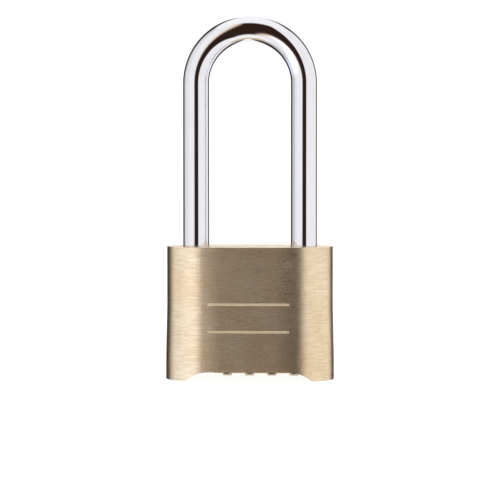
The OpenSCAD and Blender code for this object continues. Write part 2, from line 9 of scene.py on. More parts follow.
import bmesh
import bpy
from bpy.props import FloatProperty, FloatVectorProperty, IntVectorProperty, PointerProperty
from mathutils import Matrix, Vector


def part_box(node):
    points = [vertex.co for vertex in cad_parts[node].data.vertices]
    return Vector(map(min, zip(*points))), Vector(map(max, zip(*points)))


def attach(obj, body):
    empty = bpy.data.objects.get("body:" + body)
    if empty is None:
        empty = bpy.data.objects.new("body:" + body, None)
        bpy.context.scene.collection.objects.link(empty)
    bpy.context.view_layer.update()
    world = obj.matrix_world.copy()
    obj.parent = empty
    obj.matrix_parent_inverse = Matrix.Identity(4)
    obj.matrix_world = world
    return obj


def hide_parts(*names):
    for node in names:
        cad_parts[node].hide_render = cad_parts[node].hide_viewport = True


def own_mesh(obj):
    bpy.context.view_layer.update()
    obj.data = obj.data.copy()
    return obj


bl_info = {
    "name": "Combination padlock",
    "version": (1, 0, 0),
    "blender": (4, 5, 0),
    "location": "View3D > Sidebar > Padlock",
    "description": "Models a brass padlock with a long shackle and number dials in its underside",
    "category": "Object",
}

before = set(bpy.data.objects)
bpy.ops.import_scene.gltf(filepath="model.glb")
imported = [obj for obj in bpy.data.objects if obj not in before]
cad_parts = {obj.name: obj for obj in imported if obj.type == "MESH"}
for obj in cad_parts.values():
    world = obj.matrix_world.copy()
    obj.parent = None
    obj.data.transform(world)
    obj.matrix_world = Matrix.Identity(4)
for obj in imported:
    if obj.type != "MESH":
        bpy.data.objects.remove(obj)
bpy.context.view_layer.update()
MM = 0.001

# ---------- places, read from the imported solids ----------

BODY_LOW, BODY_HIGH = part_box("body")
LENGTH, THICKNESS = BODY_HIGH.x - BODY_LOW.x, BODY_HIGH.y - BODY_LOW.y
HEIGHT = BODY_HIGH.z
SHACKLE_LOW, SHACKLE_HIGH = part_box("shackle")
ROD_R = (SHACKLE_HIGH.y - SHACKLE_LOW.y) / 2
LEG_X = SHACKLE_HIGH.x - ROD_R
BOW_Z = SHACKLE_HIGH.z - LEG_X - ROD_R
PLATE_LOW, PLATE_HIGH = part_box("bottom_plate")
SEAL_LOW, SEAL_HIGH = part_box("plate_seal")
PIN_LOW, PIN_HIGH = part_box("heel_pin")
FRAME_PIN_LOW, FRAME_PIN_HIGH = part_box("frame_pins")
LATCH_LOW, LATCH_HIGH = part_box("latch_slide")
FENCE_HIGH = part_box("fence_spring")[1]
DIALS = ["dial_1", "dial_2", "dial_3", "dial_4"]
DIAL_X = [(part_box(d)[0].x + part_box(d)[1].x) / 2 for d in DIALS]
DIAL_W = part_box("dial_1")[1].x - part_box("dial_1")[0].x
AXIS_Z = (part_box("dial_1")[0].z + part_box("dial_1")[1].z) / 2

# ---------- sizes that the solids' boxes don't give ----------

LEAN = 0.35 * MM  # how far the walls draw in above the foot
LEAN_FROM, LEAN_TO = 6 * MM, 22 * MM
TOP_R = THICKNESS / 2 - LEAN
ROUND_FROM = (LENGTH - THICKNESS) / 2
EASE, EASE_FROM, EASE_TO = 0.15 * MM, 8.2 * MM, LENGTH / 2 - MM  # the walls ease off into the round ends
SCOOP_H, SCOOP_HALF, SCOOP_R = 2.7 * MM, 12 * MM, 10.4 * MM
END_WALL, SIDE_WALL, CEILING = 2.2 * MM, 2 * MM, 17.2 * MM
LINE_HALF, LINE_W, LINE_DEPTH = 12.2 * MM, 0.7 * MM, 0.2 * MM
LINE_Z = (14.8 * MM, 23 * MM)
BORE_R = ROD_R + 0.15 * MM
TOE_FLOOR = 28.2 * MM
TOE_END = 28.5 * MM
FACE_L, FACE_T, FACE_Z = LENGTH - 7 * MM, THICKNESS - 5.4 * MM, 2.4 * MM
LIP_T = 0.8 * MM
BAND = (DIAL_X[0] - 4.3 * MM, DIAL_X[3] + 4.5 * MM)
BAND_W, BAND_H, BEAD_R = 7.6 * MM, 0.75 * MM, 0.35 * MM
WINDOW_W, WINDOW_L, WINDOW_R = 3.1 * MM, 11.5 * MM, 0.7 * MM
DIAL_R, DIAL_BORE = 7.3 * MM, 4 * MM
HUMP_H, LATCH_TRAVEL, SHIFT = 1.17 * MM, 5 * MM, 1.5 * MM
DIGITS, STEP = 10, 36  # places on a dial, and degrees from one to the next
CORNER_BREAK, GRIP_R, DIAL_BREAK = 0.2 * MM, 0.36 * MM, 0.07 * MM
TOOTH_SLOT_R, TOOTH_SLOT_HALF = 4.7 * MM, 0.7 * MM
WIDEST_DIGIT, DIGIT_RISE = 2.25 * MM, 0.06 * MM
HUB_HOLLOW_R, HUB_HOLLOW = 5 * MM, (-9.3 * MM, 18.7 * MM)
TOOL_HOLE_R, PIN_PLAY = 2.1 * MM, 0.04 * MM
LATCH_TIP_Z, LATCH_SLOT, LATCH_WINDOW_END = 32.2 * MM, (-11 * MM, 8.8 * MM), -10 * MM
NOTCH_SLOPE = 0.4  # how far the latch moves for each millimetre that the shackle rises
NECK_UP, NECK_H, NECK_DEPTH = 3.4 * MM, 3.1 * MM, 0.85 * MM
ROD_END_ROUND, ROD_CUT_BREAK = 0.8 * MM, 0.12 * MM
TINY = 1e-6  # metres, for finding points by their place

# ---------- the studio: degrees round the lock from the viewer, and above level ----------

FLOOR_R, SWEEP_R, SWEEP_STEPS, BACKDROP_H = 1.2, 0.6, 10, 2.0
RIGHT_FROM, RIGHT_TO, RIGHT_LIGHT = (20, 25), (128, 138), 0.92
LEFT_FROM, LEFT_DIM, LEFT_TO, LEFT_LIGHT = (7, 18), (56, 80), (98, 136), 0.93
GLARE_FROM, GLARE_TO = (14, 20), (34, 56)
LOW_FROM, LOW_TO = (4, 14), (20, 36)
BELOW_FROM, BACK_FROM, OVERHEAD_FROM, HUE_TO = (42, 62), (160, 168), (46, 58), (6, 32)
WHITE, WARM, COOL = (1.0, 1.0, 1.0), (0.92, 0.70, 0.50), (1.0, 1.13, 1.46)
DARK_ROOM, BACKGROUND = (0.031, 0.015, 0.011), (0.95, 0.95, 0.95)
CAMERA_TURN, CAMERA_AWAY, CAMERA_UP, CAMERA_AIM = 2.5, 0.8, 0.075, 0.0388


# ---------- settings ----------


def length(name, value, note, low=0.0, high=1.0):
    return FloatProperty(
        name=name, description=note, default=value, min=low, max=high, unit="LENGTH", precision=5,
    )


def colour(name, value, note):
    return FloatVectorProperty(
        name=name, description=note, default=value, size=3, subtype="COLOR", min=0, max=1,
    )


class PadlockSizes(bpy.types.PropertyGroup):
    edge_round: length("Edge rounding", 0.4 * MM, "Rounding of the body's outer edges", 0, 0.8 * MM)
    cut_break: length("Cut edge break", 0.1 * MM, "Rounding of the edges of bores and chamber", 0, 0.3 * MM)
    plate_round: length("Plate rolled edge", 1.0 * MM, "Radius of the plate's rolled edge", 0, 1.2 * MM)
    window_break: length("Window edge", 0.16 * MM, "Rounding of the windows' edges", 0, 0.3 * MM)
    digit_height: length("Digit height", 2.75 * MM, "Height of the numbers on the dials", 1 * MM, 3.2 * MM)
    digit_weight: length("Digit weight", 0.14 * MM, "How much the strokes are thickened", 0, 0.2 * MM)
    rest_code: IntVectorProperty(
        name="Digits at rest", description="Number that each dial shows on the reading line",
        default=(4, 7, 1, 9), size=4, min=0, max=9,
    )


class PadlockColours(bpy.types.PropertyGroup):
    body_brass: colour("Body brass", (0.93, 0.79, 0.575), "Brushed brass of the body")
    plate_brass: colour("Plate brass", (0.90, 0.75, 0.385), "Golden brass of the bottom plate")
    dial_brass: colour("Dial brass", (0.82, 0.68, 0.46), "Pale brass of the dials")
    chrome: colour("Chrome", (0.88, 0.89, 0.935), "Plating of the shackle")
    rubber: colour("Seal rubber", (0.012, 0.012, 0.012), "Rubber of the seal")
    number_paint: colour("Number paint", (0.008, 0.008, 0.008), "Paint in the numbers")
    zinc: colour("Zinc casting", (0.50, 0.50, 0.50), "Carriage, hubs and latch")
    steel: colour("Spring steel", (0.42, 0.43, 0.45), "Springs, screws and spindle")
    floor: colour("Floor", (0.66, 0.66, 0.66), "Studio floor and backdrop")


# ---------- modelling helpers ----------


def deselect_all():
    if bpy.context.object and bpy.context.object.mode != "OBJECT":
        bpy.ops.object.mode_set(mode="OBJECT")
    bpy.ops.object.select_all(action="DESELECT")


def take(piece):
    """Makes the piece the only one selected, and the active one."""
    deselect_all()
    bpy.context.view_layer.objects.active = piece
    piece.select_set(True)
    return piece


def added(operator, name, **settings):
    """Adds a primitive, puts its place into its mesh and names it."""
    deselect_all()
    operator(**settings)
    piece = bpy.context.object
    piece.name = piece.data.name = name
    bpy.ops.object.transform_apply(location=True, rotation=True, scale=True)
    return piece


@contextmanager
def editing(piece):
    take(piece)
    bpy.ops.object.mode_set(mode="EDIT")
    bpy.ops.mesh.select_all(action="SELECT")
    yield
    bpy.ops.object.mode_set(mode="OBJECT")


def pick(piece, kind, test):
    """In edit mode, selects the vertices, edges or faces that pass the test, and says how many did."""
    bpy.context.tool_settings.mesh_select_mode = (kind == "verts", kind == "edges", kind == "faces")
    mesh = bmesh.from_edit_mesh(piece.data)
    for part in (*mesh.verts, *mesh.edges, *mesh.faces):
        part.select = False
    chosen = [part for part in getattr(mesh, kind) if test(part)]
    for part in chosen:
        part.select_set(True)
    mesh.select_flush_mode()
    bmesh.update_edit_mesh(piece.data)
    return len(chosen)


def lies(edge, test):
    return all(test(v.co) for v in edge.verts)


def modified(piece, kind, **settings):
    take(piece)
    modifier = piece.modifiers.new(kind.title(), kind)
    for key, value in settings.items():
        setattr(modifier, key, value)
    bpy.ops.object.modifier_apply(modifier=modifier.name)
    return piece


def cut_by(piece, *tools, operation="DIFFERENCE"):
    for tool in tools:
        modified(piece, "BOOLEAN", operation=operation, solver="EXACT", object=tool)
        bpy.data.objects.remove(tool)
    return piece


def broken_edges(piece, width, segments=2, angle=40):
    return modified(
        piece, "BEVEL", width=width, segments=segments, limit_method="ANGLE",
        angle_limit=math.radians(angle), use_clamp_overlap=True, miter_outer="MITER_ARC",
    )


def smoothed(piece, angle=32):
    """Outward normals, smooth shading up to an angle, and flat faces kept flat beside their rounded edges."""
    with editing(piece):
        bpy.ops.mesh.remove_doubles(threshold=0.000002)
        bpy.ops.mesh.normals_make_consistent(inside=False)
    bpy.ops.object.shade_smooth_by_angle(angle=math.radians(angle), keep_sharp_edges=False)
    return modified(piece, "WEIGHTED_NORMAL", keep_sharp=True, weight=80)


def stadium(name, length_x, width_y, low, high, sides=128):
    """A block with two round ends: half a cylinder, moved out, drawn back to the middle and mirrored."""
    piece = added(
        bpy.ops.mesh.primitive_cylinder_add, name, vertices=sides, radius=width_y / 2,
        depth=high - low, location=(0, 0, (low + high) / 2),
    )
    reach = (length_x - width_y) / 2
    with editing(piece):
        bpy.ops.mesh.bisect(plane_co=(0, 0, 0), plane_no=(1, 0, 0), clear_inner=True)
        bpy.ops.mesh.select_all(action="SELECT")
        bpy.ops.transform.translate(value=(reach, 0, 0))
        pick(piece, "edges", lambda e: lies(e, lambda co: co.x < reach + TINY))
        bpy.ops.mesh.extrude_region_move(TRANSFORM_OT_translate={"value": (-reach, 0, 0)})
    modified(piece, "MIRROR", use_axis=(True, False, False), merge_threshold=TINY)
    with editing(piece):
        bpy.ops.mesh.normals_make_consistent(inside=False)
    return piece


def block(name, low, high):
    """A box between two corners, to cut with."""
    low, high = Vector(low), Vector(high)
    return added(
        bpy.ops.mesh.primitive_cube_add, name, size=1, location=(low + high) / 2, scale=high - low,
    )


def rod(name, radius, start, end, sides=64):
    """A cylinder from one point to another, to cut with."""
    start, end = Vector(start), Vector(end)
    return added(
        bpy.ops.mesh.primitive_cylinder_add, name, vertices=sides, radius=radius, depth=(end - start).length,
        location=(start + end) / 2, rotation=(end - start).to_track_quat("Z", "Y").to_euler(),
    )


def dressed(piece, material, body, *nodes, slot=None):
    """Gives the piece its finish and its body, and hides the solids that it stands for."""
    piece.data.materials.clear()
    piece.data.materials.append(material)
    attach(piece, body)
    if nodes:
        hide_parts(*nodes)
    return piece


# ---------- shader maths ----------


class Value:
    """A socket that can be written in sums: numbers become the values of Math nodes."""

    def __init__(self, nodes, socket):
        self.nodes, self.socket = nodes, socket

    def _maths(self, operation, *others):
        return self.nodes.add("Math", {"operation": operation}, self, *others)

    def __add__(self, other):
        return self._maths("ADD", other)

    def __mul__(self, other):
        return self._maths("MULTIPLY", other)

    def __sub__(self, other):
        return self._maths("SUBTRACT", other)

    def __rsub__(self, other):
        return self.nodes.add("Math", {"operation": "SUBTRACT"}, other, self)

    def __abs__(self):
        return self._maths("ABSOLUTE")

    def at_least(self, other):
        """The larger of the two."""
        return self._maths("MAXIMUM", other)

    __radd__, __rmul__ = __add__, __mul__

    def above(self, low, high):
        """0 below low, 1 above high, and smooth in between."""
        return self.nodes.add(
            "MapRange", {"interpolation_type": "SMOOTHSTEP"},
            **{"Value": self, "From Min": low, "From Max": high},
        )

    def between(self, rise, fall):
        """1 between two smooth edges, and 0 outside them."""
        return self.above(*rise) * (1 - self.above(*fall))


class Nodes:
    """One material's or world's node tree."""

    def __init__(self, tree):
        self.tree = tree
        tree.nodes.clear()

    def add(self, kind, settings=None, *values, out=0, **named):
        node = self.tree.nodes.new("ShaderNode" + kind)
        for key, value in (settings or {}).items():
            if key == "stops":
                ramp = node.color_ramp
                for place, shade in value[2:]:
                    ramp.elements.new(place)
                for element, (place, shade) in zip(ramp.elements, sorted(value)):
                    element.position, element.color = place, (*shade, 1)
            else:
                setattr(node, key, value)
        for key, value in [*enumerate(values), *named.items()]:
            socket = node.inputs[key]
            if isinstance(value, Value):
                self.tree.links.new(value.socket, socket)
            else:
                socket.default_value = value
        return Value(self, node.outputs[out]) if node.outputs else None

    def place(self, scale=(1, 1, 1), turn=(0, 0, 0), offset=(0, 0, 0)):
        """Object coordinates, stretched, turned and moved."""
        spot = self.add("TexCoord", out="Object")
        return self.add("Mapping", None, spot, Scale=scale, Rotation=turn, Location=offset)

    def part_of(self, vector, axis):
        """One of a vector's three numbers."""
        return self.add("SeparateXYZ", None, vector, out=axis)

    def noise(self, scale, place=None, detail=2.0, rough=0.5, distortion=0.0):
        return self.add(
            "TexNoise", None, Vector=place or self.place(), Scale=scale, Detail=detail,
            Roughness=rough, Distortion=distortion,
        )

    def mix(self, factor, first, second, blend="MIX"):
        mixed = self.tree.nodes.new("ShaderNodeMix")
        mixed.data_type, mixed.blend_type = "RGBA", blend
        sockets = mixed.inputs[0], mixed.inputs[6], mixed.inputs[7]
        for socket, value in zip(sockets, (factor, first, second)):
            if isinstance(value, Value):
                self.tree.links.new(value.socket, socket)
            else:
                socket.default_value = value if isinstance(value, (int, float)) else (*value[:3], 1)
        return Value(self, mixed.outputs[2])


def finish_named(name):
    material = bpy.data.materials.new(name)
    material.use_nodes = True
    return material, Nodes(material.node_tree)


def surfaced(material, nodes, **inputs):
    """Ends a material in a Principled shader with these inputs."""
    shader = nodes.add("BsdfPrincipled", None, **inputs)
    nodes.add("OutputMaterial", None, Surface=shader)
    return material


def bumped(nodes, height, strength, distance):
    return nodes.add("Bump", None, Strength=strength, Distance=distance, Height=height)


def scaled(shade, by):
    return tuple(channel * by for channel in shade)


def tinted(shade, *by):
    """The shade with each of its three channels scaled by its own number."""
    return tuple(channel * share for channel, share in zip(shade, by))


# ---------- finishes ----------


def brushed_brass(shade):
    """Brass brushed round the body: fine level scratches, a few faint upright ones, slow changes, and painted
    shade on the faces that look down.
    """
    material, nodes = finish_named("brushed_brass")
    scratches = nodes.noise(1.0, nodes.place((210, 210, 4200)), 4, 0.7)
    strokes = nodes.noise(1.0, nodes.place((2600, 2600, 300)), 3, 0.65)
    clouds = nodes.noise(90, None, 4, 0.6, 0.5)
    marks = scratches * 0.82 + strokes * 0.18
    tone = nodes.mix(clouds.above(0.35, 0.7), scaled(shade, 1.02), tinted(shade, 0.96, 0.90, 0.84))
    tone = nodes.mix(marks.above(0.42, 0.60) * 0.55, tone, tinted(shade, 0.68, 0.60, 0.50))
    # Painted shade: faces that look down are darkened, for the shade that falls on the underside.
    painted_underside_shade = (nodes.part_of(nodes.add("TexCoord", out="Normal"), 2) * -1.0).above(0.5, 0.85)
    tone = nodes.mix(painted_underside_shade * 0.9, tone, tinted(shade, 0.66, 0.63, 0.53))
    rough = marks * 0.4 + 0.12
    height = scratches * 0.85 + strokes * 0.15
    return surfaced(
        material, nodes, **{
            "Base Color": tone, "Metallic": 1.0, "Roughness": rough, "Anisotropic": 0.5,
            "Anisotropic Rotation": 0.25, "Normal": bumped(nodes, height, 0.5, 0.0001),
        }
    )


def bright_cut_brass(shade):
    """Brass cut bright by the engraving tool, with its chatter across the line."""
    material, nodes = finish_named("bright_cut_brass")
    chatter = nodes.noise(1.0, nodes.place((2400, 400, 400)), 2, 0.5)
    tone = nodes.mix(chatter.above(0.35, 0.65) * 0.4, scaled(shade, 1.08), scaled(shade, 0.9))
    return surfaced(
        material, nodes, **{
            "Base Color": tone, "Metallic": 1.0, "Roughness": chatter * 0.2 + 0.34,
            "Normal": bumped(nodes, chatter, 0.2, 0.00002),
        }
    )


def polished_chrome(shade):
    """Plated rod: a bright skin with faint draw lines and a little haze."""
    material, nodes = finish_named("polished_chrome")
    haze = nodes.noise(160, None, 4, 0.6)
    lines = nodes.noise(1.0, nodes.place((2600, 2600, 30)), 2, 0.5)
    tone = nodes.mix(haze.above(0.45, 0.75) * 0.5, shade, scaled(shade, 0.93))
    rough = haze.above(0.4, 0.8) * 0.05 + lines * 0.02 + 0.03
    return surfaced(
        material, nodes, **{
            "Base Color": tone, "Metallic": 1.0, "Roughness": rough,
            "Normal": bumped(nodes, lines, 0.03, 0.00001),
        }
    )


def stamped_brass(shade):
    """Golden stamped plate: soft mottling, brown tarnish and pitted stains, painted shade on the band's flank
    beside the reading line, a painted highlight along its bead and a fine pitted skin.
    """
    material, nodes = finish_named("stamped_brass")
    mottle = nodes.noise(420, None, 5, 0.65, 0.6)
    pits = nodes.noise(2000, None, 3, 0.7)
    stain = nodes.noise(160, nodes.place(offset=(0.4, 0.2, 0.1)), 4, 0.6, 0.8)
    x, y = nodes.part_of(nodes.place(), 0), nodes.part_of(nodes.place(), 1)
    near = x.between((BAND[0] - 3 * MM, BAND[0] + MM), (BAND[1] - MM, BAND[1] + 3 * MM))
    from_line = abs(y)
    # Painted highlight: a lighter strip along the reading line's bead.
    painted_bead_highlight = near * (1 - from_line.above(BEAD_R * 0.5, BEAD_R))
    low = y.between((4.6 * MM, 6.4 * MM), (7.2 * MM, 8.6 * MM)) * near
    near = near * (1 - from_line.above(4 * MM, 8 * MM))
    # Painted shade: the band's flank on one side of the reading line is darkened, for the shade below the
    # crest.
    painted_lee_shade = y.between((BEAD_R, 2 * BEAD_R), (1.2 * MM, BAND_W / 2)) * near
    tone = nodes.mix(mottle.above(0.35, 0.7) * 0.55, scaled(shade, 1.05), tinted(shade, 0.84, 0.78, 0.74))
    tone = nodes.mix(stain.above(0.45, 0.75) * (near * 0.5 + 0.2), tone, tinted(shade, 0.60, 0.50, 0.44))
    tone = nodes.mix(painted_lee_shade * 0.7, tone, tinted(shade, 0.52, 0.48, 0.46))
    tone = nodes.mix(pits.above(0.40, 0.64) * low * 0.45, tone, tinted(shade, 0.55, 0.50, 0.44))
    tone = nodes.mix(pits.above(0.50, 0.68) * 0.5, tone, tinted(shade, 0.66, 0.60, 0.5))
    tone = nodes.mix(painted_bead_highlight, tone, scaled(shade, 1.1))
    rough = mottle * 0.16 + pits * 0.14 + 0.2
    height = mottle * 0.6 + pits * 0.4
    return surfaced(
        material, nodes, **{
            "Base Color": tone, "Metallic": 1.0, "Roughness": rough,
            "Normal": bumped(nodes, height, 0.35, 0.00008),
        }
    )


def turned_brass(shade):
    """Pale dial metal with turning lines round its axis."""
    material, nodes = finish_named("turned_brass")
    lines = nodes.noise(1.0, nodes.place((7000, 160, 160)), 2, 0.5)
    wear = nodes.noise(600, None, 4, 0.6)
    tone = nodes.mix(wear.above(0.4, 0.75), shade, tinted(shade, 0.86, 0.80, 0.74))
    rough = lines * 0.14 + wear * 0.08 + 0.26
    return surfaced(
        material, nodes, **{
            "Base Color": tone, "Metallic": 0.9, "Roughness": rough,
            "Normal": bumped(nodes, lines, 0.2, 0.00002),
        }
    )


def seal_rubber(shade):
    material, nodes = finish_named("seal_rubber")
    grain = nodes.noise(2400, None, 3, 0.6)
    bloom = nodes.noise(300, None, 3, 0.6)
    tone = nodes.mix(bloom.above(0.5, 0.8) * 0.4, shade, scaled(shade, 2.2))
    return surfaced(
        material, nodes, **{
            "Base Color": tone, "Roughness": grain * 0.2 + 0.5, "Normal": bumped(nodes, grain, 0.3, 0.00003),
        }
    )


def number_paint(shade):
    material, nodes = finish_named("number_paint")
    grain = nodes.noise(3000, None, 3, 0.6)
    tone = nodes.mix(grain.above(0.55, 0.8) * 0.5, shade, scaled(shade, 4))
    return surfaced(
        material, nodes, **{
            "Base Color": tone, "Roughness": grain * 0.2 + 0.35, "Normal": bumped(nodes, grain, 0.2, 0.00002),
        }
    )


def cast_zinc(shade):
    material, nodes = finish_named("cast_zinc")
    skin = nodes.noise(900, None, 5, 0.65)
    flow = nodes.noise(200, None, 3, 0.5, 1.0)
    tone = nodes.mix(flow.above(0.35, 0.7), shade, scaled(shade, 0.8))
    return surfaced(
        material, nodes, **{
            "Base Color": tone, "Metallic": 0.85, "Roughness": skin * 0.2 + 0.42,
            "Normal": bumped(nodes, skin, 0.4, 0.00005),
        }
    )


def drawn_steel(shade):
    material, nodes = finish_named("drawn_steel")
    lines = nodes.noise(1.0, nodes.place((180, 2400, 2400)), 3, 0.5)
    heat = nodes.noise(240, None, 3, 0.5)
    tone = nodes.mix(heat.above(0.4, 0.7), shade, tinted(shade, 0.82, 0.86, 0.95))
    return surfaced(
        material, nodes, **{
            "Base Color": tone, "Metallic": 1.0, "Roughness": lines * 0.15 + 0.22,
            "Normal": bumped(nodes, lines, 0.15, 0.00002),
        }
    )


def matt_floor(shade):
    material, nodes = finish_named("studio_floor")
    soft = nodes.noise(6, None, 2, 0.5)
    tone = nodes.mix(soft.above(0.3, 0.8) * 0.5, shade, scaled(shade, 0.985))
    return surfaced(
        material, nodes, **{
            "Base Color": (*scaled(shade, 0.3), 1), "Roughness": 0.9, "Specular IOR Level": 0.1,
            "Emission Color": tone, "Emission Strength": 1.36,
        }
    )


# ---------- pieces ----------


def model_body(sizes, colours):
    shell = stadium("body_shell", LENGTH, THICKNESS, 0, HEIGHT)
    share = TOP_R / (THICKNESS / 2)
    with editing(shell):
        ease_ends(shell, lambda drop: bpy.ops.transform.resize(
            value=(1, 1 - drop * 2 / THICKNESS, 1), center_override=(0, 0, 0)
        ))
        for z in (LEAN_FROM, LEAN_TO):
            bpy.ops.mesh.select_all(action="SELECT")
            bpy.ops.mesh.bisect(plane_co=(0, 0, z), plane_no=(0, 0, 1))
        for side in (-1, 1):
            pick(shell, "verts", lambda v: v.co.z > LEAN_TO - TINY and v.co.x * side > ROUND_FROM - TINY)
            bpy.ops.transform.resize(value=(share, share, 1), center_override=(side * ROUND_FROM, 0, 0))
        pick(shell, "verts", lambda v: v.co.z > LEAN_TO - TINY and abs(v.co.x) < ROUND_FROM - TINY)
        bpy.ops.transform.resize(value=(1, share, 1), center_override=(0, 0, 0))
    cut_by(shell, scoop_tool())
    broken_edges(shell, sizes.edge_round, 4)
    pin_x, pin_z = (PIN_LOW.x + PIN_HIGH.x) / 2, (PIN_LOW.z + PIN_HIGH.z) / 2
    pin_r = (PIN_HIGH.z - PIN_LOW.z) / 2 + PIN_PLAY
    frame_pin_z = (FRAME_PIN_LOW.z + FRAME_PIN_HIGH.z) / 2
    frame_pin_r = (FRAME_PIN_HIGH.y - FRAME_PIN_LOW.y) / 2 + PIN_PLAY
    half_slot, slot_top = LATCH_HIGH.y + 0.1 * MM, LATCH_HIGH.z + 0.2 * MM
    out = LENGTH
    cut_by(
        shell,
        stadium("chamber", LENGTH - 2 * END_WALL, THICKNESS - 2 * SIDE_WALL, -MM, CEILING),
        rod("heel_bore", BORE_R, (LEG_X, 0, CEILING - MM), (LEG_X, 0, out)),
        rod("toe_bore", BORE_R, (-LEG_X, 0, TOE_FLOOR), (-LEG_X, 0, out)),
        rod("tool_hole", TOOL_HOLE_R, (-LEG_X, 0, CEILING - MM), (-LEG_X, 0, TOE_FLOOR + MM)),
        block("latch_slot", (LATCH_SLOT[0], -half_slot, CEILING - MM), (LATCH_SLOT[1], half_slot, slot_top)),
        block("latch_window", (-LEG_X, -half_slot, LATCH_TIP_Z), (LATCH_WINDOW_END, half_slot, slot_top)),
        rod("pin_hole", pin_r, (pin_x, -out, pin_z), (pin_x, out, pin_z)),
        rod("frame_pin_holes", frame_pin_r, (-out, 0, frame_pin_z), (out, 0, frame_pin_z), 32),
    )
    for z in LINE_Z:
        groove_r = ((LINE_W / 2) ** 2 + LINE_DEPTH**2) / (2 * LINE_DEPTH)
        y = wall_y(0, z) - groove_r + LINE_DEPTH
        line = rod("trim_line", groove_r, (-LINE_HALF, y, z), (LINE_HALF, y, z), 48)
        with editing(line):
            ease_ends(line, lambda drop: bpy.ops.transform.translate(value=(0, drop, 0)))
        cut_by(shell, line)
    broken_edges(shell, sizes.cut_break, 2, 50)
    smoothed(shell)
    dressed(shell, brushed_brass(colours.body_brass), "case", "body", slot="brushed_brass")
    shell.data.materials.append(bright_cut_brass(colours.body_brass))
    with editing(shell):
        pick(shell, "faces", lambda f: in_trim_line(f.calc_center_median()))
        shell.active_material_index = 1
        bpy.ops.object.material_slot_assign()
    return shell


def ease_drop(x):
    """How far the front and back walls have eased inwards at this distance from the middle."""
    x = abs(x)
    if x < ROUND_FROM:
        return EASE * max(0, (x - EASE_FROM) / (ROUND_FROM - EASE_FROM)) ** 2
    slope = 2 * EASE / (ROUND_FROM - EASE_FROM)
    share = min(1, (x - ROUND_FROM) / (EASE_TO - ROUND_FROM))
    run_out = (1 - share) ** 2
    return run_out * (EASE * (1 + 2 * share) + slope * (x - ROUND_FROM))


def ease_ends(piece, move):
    """In edit mode, cuts the piece across near its two ends and moves each ring of points by its drop."""
    for step in range(7):
        for side in (-1, 1):
            x = side * (EASE_FROM + step * (ROUND_FROM - EASE_FROM) / 7)
            bpy.ops.mesh.select_all(action="SELECT")
            bpy.ops.mesh.bisect(plane_co=(x, 0, 0), plane_no=(1, 0, 0))
    for x in sorted({round(abs(v.co.x), 6) for v in bmesh.from_edit_mesh(piece.data).verts}):
        if ease_drop(x) > 0 and pick(piece, "verts", lambda v: abs(abs(v.co.x) - x) < TINY):
            move(ease_drop(x))


def wall_y(x, z):
    """Where the front wall stands at this distance from the middle and this height."""
    return LEAN * min(1, max(0, (z - LEAN_FROM) / (LEAN_TO - LEAN_FROM))) - THICKNESS / 2 + ease_drop(x)


def in_trim_line(place):
    level = any(abs(place.z - z) < LINE_W / 2 + 0.05 * MM for z in LINE_Z)
    depth = place.y - wall_y(place.x, place.z)
    return level and abs(place.x) < LINE_HALF + 0.1 * MM and 0.02 * MM < depth < MM


def scoop_tool():
    """The hollow under the body: a flat run whose ends turn down on a large radius."""
    tool = block("scoop", (-SCOOP_HALF, -THICKNESS, SCOOP_H - SCOOP_R), (SCOOP_HALF, THICKNESS, SCOOP_H))
    with editing(tool):
        for side in (-1, 1):
            pick(tool, "faces", lambda f: f.normal.x * side > 0.9
                 and f.calc_center_median().x * side > SCOOP_HALF - TINY)
            bpy.ops.mesh.spin(
                steps=40, angle=math.radians(-80) * side, axis=(0, 1, 0),
                center=(side * SCOOP_HALF, 0, SCOOP_H - SCOOP_R),
            )
        bpy.ops.mesh.select_all(action="SELECT")
        bpy.ops.mesh.remove_doubles(threshold=1e-7)
        bpy.ops.mesh.normals_make_consistent(inside=False)
    return tool


